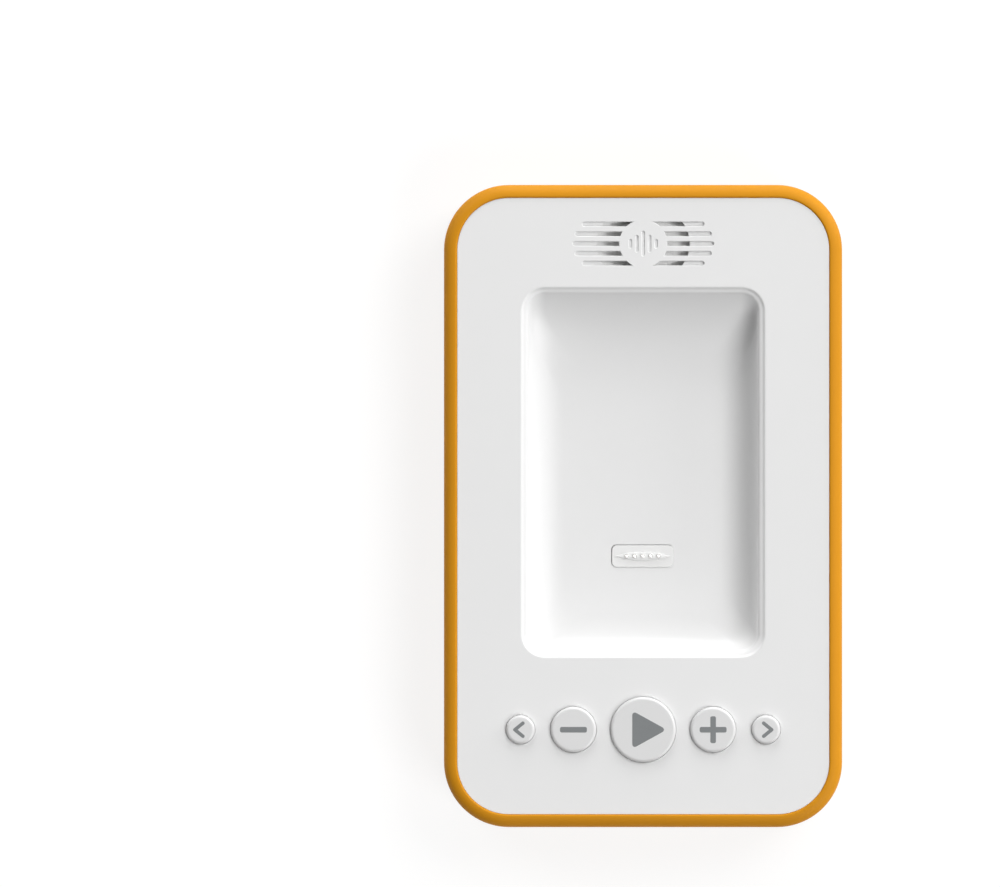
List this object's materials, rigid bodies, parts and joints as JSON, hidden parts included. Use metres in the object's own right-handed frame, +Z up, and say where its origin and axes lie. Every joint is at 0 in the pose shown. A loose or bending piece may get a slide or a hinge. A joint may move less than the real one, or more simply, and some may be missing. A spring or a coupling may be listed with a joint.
{
  "type": "audio story player",
  "caption": "Hand-sized audio story player: orange tub, white face with a cartridge pocket, speaker grille, round buttons and sprung contacts.",
  "frame": {"origin": "below the middle of the back, on the surface the four feet stand on", "axes": "+Z up out of the face, +Y towards the speaker end, +X to the right of someone who reads the face"},
  "size_m": [0.0992, 0.16, 0.024],
  "materials": {
    "orange_shell": "satin moulded plastic with fine grain",
    "orange_foot": "matt rubber in the shell's colour",
    "white_panel": "satin moulded plastic",
    "white_button": "satin moulded plastic",
    "white_block": "satin moulded plastic",
    "grey_symbol": "satin grey inlay",
    "plunger_plastic": "moulded black",
    "switch_housing": "moulded black",
    "circuit_board": "green solder mask",
    "chip_black": "moulded epoxy",
    "capacitor_tan": "fired ceramic",
    "inductor_grey": "pressed ferrite",
    "socket_steel": "drawn steel",
    "socket_black": "moulded black",
    "grille_cloth": "fine woven dust cloth",
    "foam": "closed-cell foam",
    "basket_plastic": "moulded black",
    "magnet_nickel": "nickel plate",
    "cone_paper": "pressed paper",
    "surround_rubber": "matt rubber",
    "coil_copper": "wound enamelled copper",
    "contact_silver": "silver plate",
    "barrel_brass": "turned brass",
    "cable_film": "flat film cable",
    "battery_foil": "pouch foil",
    "plug_white": "moulded nylon",
    "lead_red": "insulated wire",
    "lead_black": "insulated wire",
    "screw_steel": "zinc plate"
  },
  "bodies": {
    "case": {"back_shell": "orange_shell", "front_panel": "white_panel", "foot_top_left": "orange_foot", "foot_top_right": "orange_foot", "foot_bottom_left": "orange_foot", "foot_bottom_right": "orange_foot", "case_screws": "screw_steel", "board_screws": "screw_steel", "contact_screws": "screw_steel", "speaker_screws": "screw_steel", "key_switches": "switch_housing", "main_board": "circuit_board", "contact_board": "circuit_board", "board_chips": "chip_black", "board_capacitors": "capacitor_tan", "power_inductor": "inductor_grey", "usb_socket": "socket_steel", "usb_tongue": "socket_black", "headphone_socket": "socket_black", "grille_cloth": "grille_cloth", "speaker_gasket": "foam", "battery_pad": "foam", "speaker_basket": "basket_plastic", "speaker_magnet": "magnet_nickel", "pocket_magnets": "magnet_nickel", "speaker_surround": "surround_rubber", "contact_block": "white_block", "contact_barrels": "barrel_brass", "contact_cable": "cable_film", "battery": "battery_foil", "battery_plug": "plug_white", "battery_socket": "plug_white", "battery_lead_red": "lead_red", "speaker_lead_red": "lead_red", "battery_lead_black": "lead_black", "speaker_lead_black": "lead_black"},
    "previous_key": {"previous_button": "white_button", "previous_symbol": "grey_symbol", "previous_plunger": "plunger_plastic"},
    "volume_down_key": {"volume_down_button": "white_button", "volume_down_symbol": "grey_symbol", "volume_down_plunger": "plunger_plastic"},
    "play_key": {"play_button": "white_button", "play_symbol": "grey_symbol", "play_plunger": "plunger_plastic"},
    "volume_up_key": {"volume_up_button": "white_button", "volume_up_symbol": "grey_symbol", "volume_up_plunger": "plunger_plastic"},
    "next_key": {"next_button": "white_button", "next_symbol": "grey_symbol", "next_plunger": "plunger_plastic"},
    "pin_1": {"contact_pin_1": "contact_silver"},
    "pin_2": {"contact_pin_2": "contact_silver"},
    "pin_3": {"contact_pin_3": "contact_silver"},
    "pin_4": {"contact_pin_4": "contact_silver"},
    "pin_5": {"contact_pin_5": "contact_silver"},
    "cone": {"speaker_cone": "cone_paper", "voice_coil": "coil_copper"}
  },
  "joints": [
    {"name": "press_previous", "type": "slide", "parent": "case", "child": "previous_key", "axis": [0, 0, -1], "range_m": [0, 0.0005], "stiffness_N_per_m": 2500, "springref_m": -0.0002},
    {"name": "press_volume_down", "type": "slide", "parent": "case", "child": "volume_down_key", "axis": [0, 0, -1], "range_m": [0, 0.0005], "stiffness_N_per_m": 2500, "springref_m": -0.0002},
    {"name": "press_play", "type": "slide", "parent": "case", "child": "play_key", "axis": [0, 0, -1], "range_m": [0, 0.0005], "stiffness_N_per_m": 2500, "springref_m": -0.0002},
    {"name": "press_volume_up", "type": "slide", "parent": "case", "child": "volume_up_key", "axis": [0, 0, -1], "range_m": [0, 0.0005], "stiffness_N_per_m": 2500, "springref_m": -0.0002},
    {"name": "press_next", "type": "slide", "parent": "case", "child": "next_key", "axis": [0, 0, -1], "range_m": [0, 0.0005], "stiffness_N_per_m": 2500, "springref_m": -0.0002},
    {"name": "pin_1_travel", "type": "slide", "parent": "case", "child": "pin_1", "axis": [0, 0, -1], "range_m": [0, 0.0007], "stiffness_N_per_m": 800, "springref_m": -0.0002},
    {"name": "pin_2_travel", "type": "slide", "parent": "case", "child": "pin_2", "axis": [0, 0, -1], "range_m": [0, 0.0007], "stiffness_N_per_m": 800, "springref_m": -0.0002},
    {"name": "pin_3_travel", "type": "slide", "parent": "case", "child": "pin_3", "axis": [0, 0, -1], "range_m": [0, 0.0007], "stiffness_N_per_m": 800, "springref_m": -0.0002},
    {"name": "pin_4_travel", "type": "slide", "parent": "case", "child": "pin_4", "axis": [0, 0, -1], "range_m": [0, 0.0007], "stiffness_N_per_m": 800, "springref_m": -0.0002},
    {"name": "pin_5_travel", "type": "slide", "parent": "case", "child": "pin_5", "axis": [0, 0, -1], "range_m": [0, 0.0007], "stiffness_N_per_m": 800, "springref_m": -0.0002},
    {"name": "cone_travel", "type": "slide", "parent": "case", "child": "cone", "axis": [0, 0, 1], "range_m": [-0.0004, 0.0004], "stiffness_N_per_m": 1500}
  ]
}
